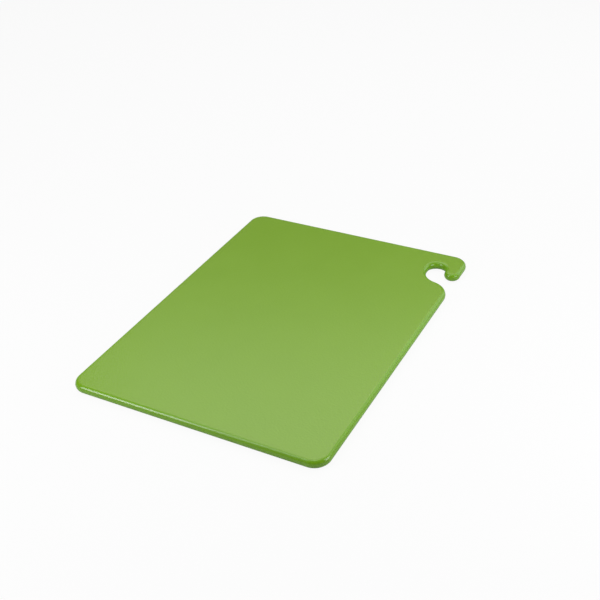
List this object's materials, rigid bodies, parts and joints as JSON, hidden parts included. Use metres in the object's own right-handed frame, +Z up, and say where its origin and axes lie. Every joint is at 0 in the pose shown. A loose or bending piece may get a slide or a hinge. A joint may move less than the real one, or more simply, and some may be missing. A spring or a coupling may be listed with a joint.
{
  "type": "cutting board",
  "caption": "Flat plastic cutting board with rounded corners and full-round edges, and an S-shaped cut-out that leaves a hanging hook at a corner.",
  "frame": {"origin": "middle of the underside, at the centre of the board's outline box", "axes": "+Z up from the surface that the board lies on, +Y along its length towards the hook's end, +X across its width towards the hook's side"},
  "size_m": [0.381, 0.508, 0.0127],
  "materials": {
    "green_plastic": "satin"
  },
  "bodies": {
    "root": {"board": "green_plastic"}
  },
  "joints": []
}
